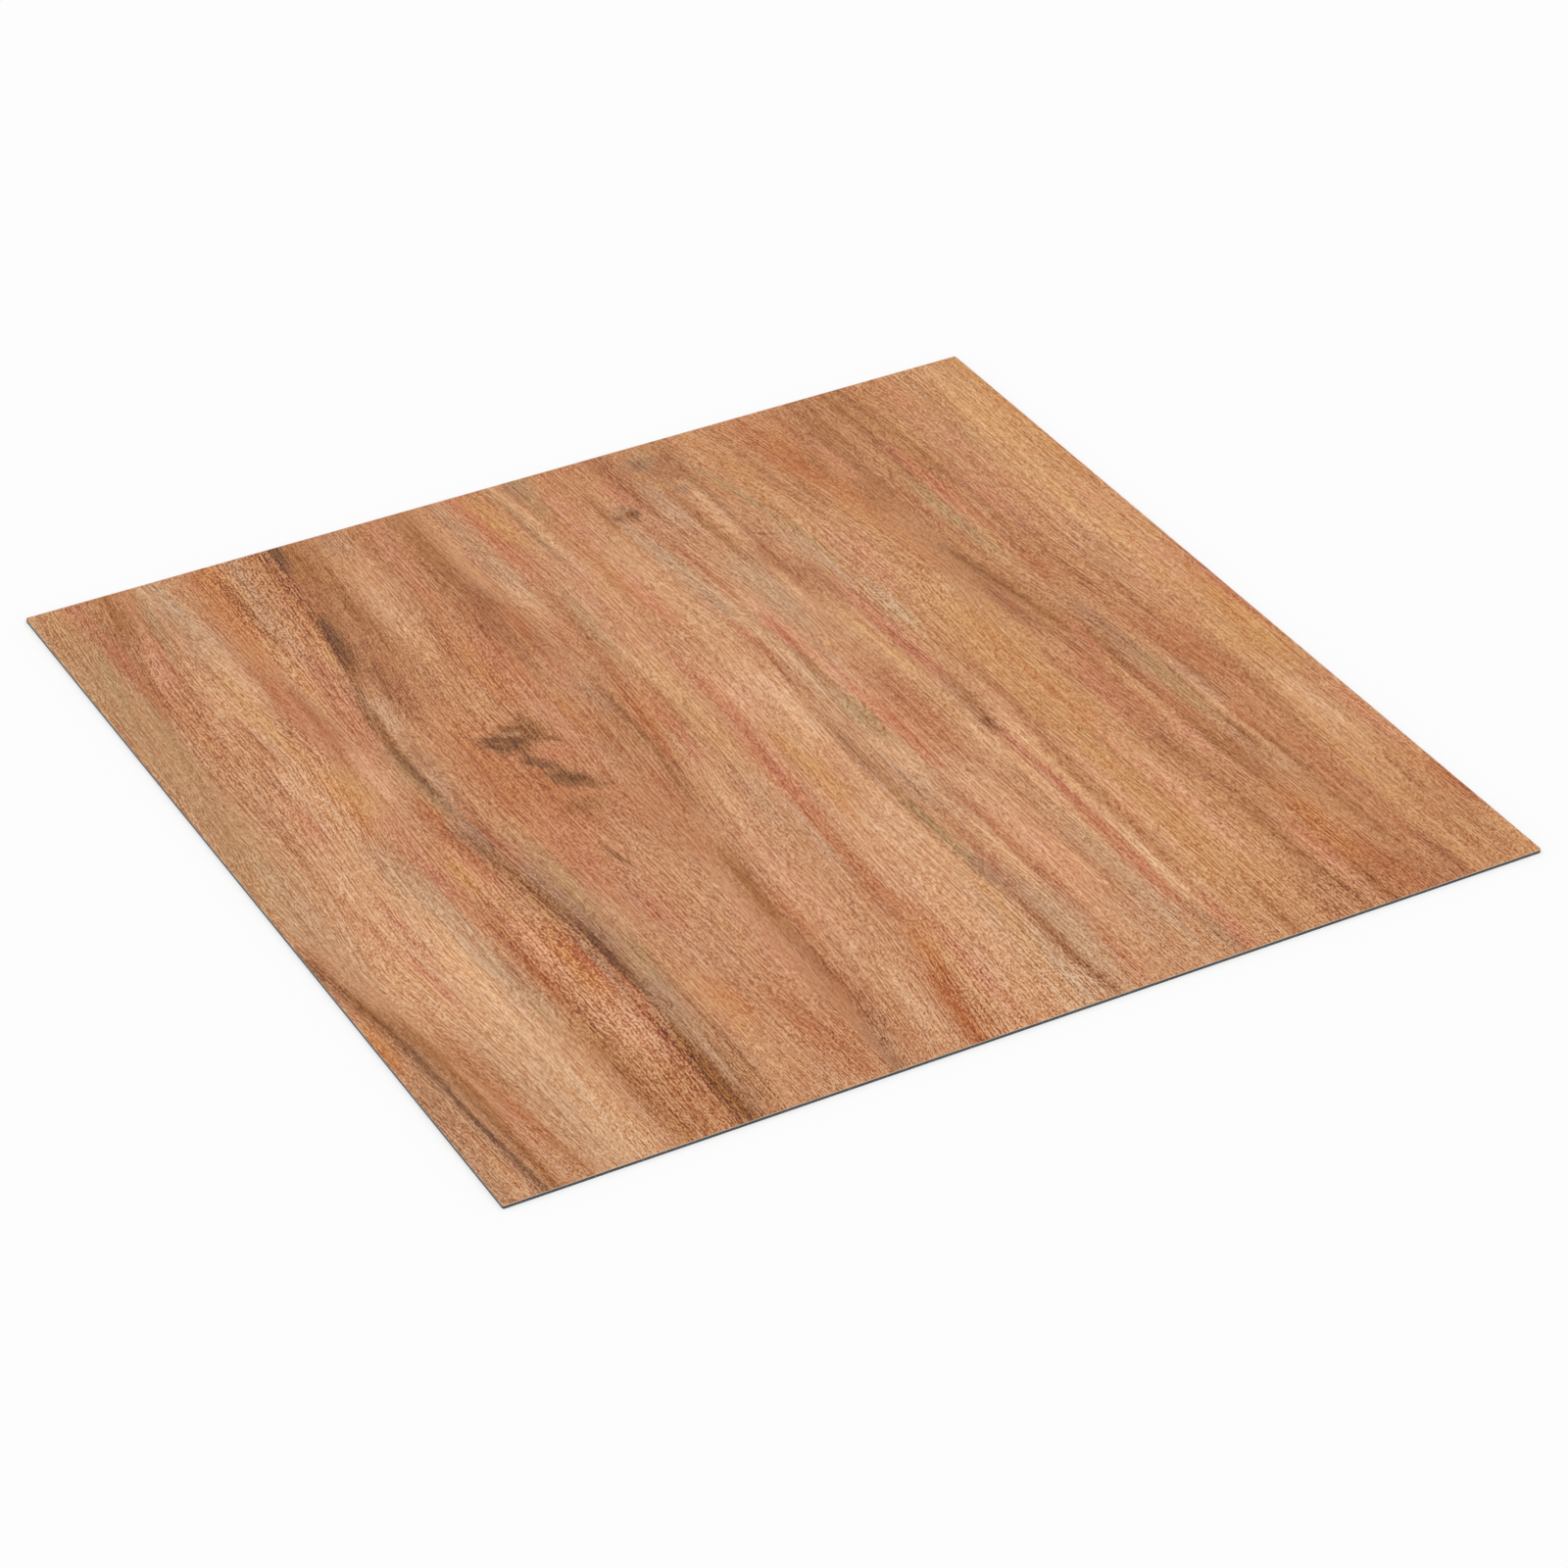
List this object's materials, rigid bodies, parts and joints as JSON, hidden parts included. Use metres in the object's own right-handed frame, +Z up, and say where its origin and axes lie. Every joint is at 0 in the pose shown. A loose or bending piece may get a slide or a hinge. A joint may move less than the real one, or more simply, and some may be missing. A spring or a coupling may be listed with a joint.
{
  "type": "vinyl floor tile",
  "caption": "Square vinyl floor tile: a wood-look printed face layer laminated to a thin grey vinyl base, glued down edge to edge.",
  "frame": {"origin": "middle of the underside, on the surface that the tile is glued to", "axes": "+Z up out of the printed face, +Y along the printed grain, +X across it"},
  "size_m": [0.305, 0.305, 0.0012],
  "materials": {
    "printed_face": "satin",
    "grey_base": "matte"
  },
  "bodies": {
    "root": {"printed_face": "printed_face", "grey_base": "grey_base"}
  },
  "joints": []
}
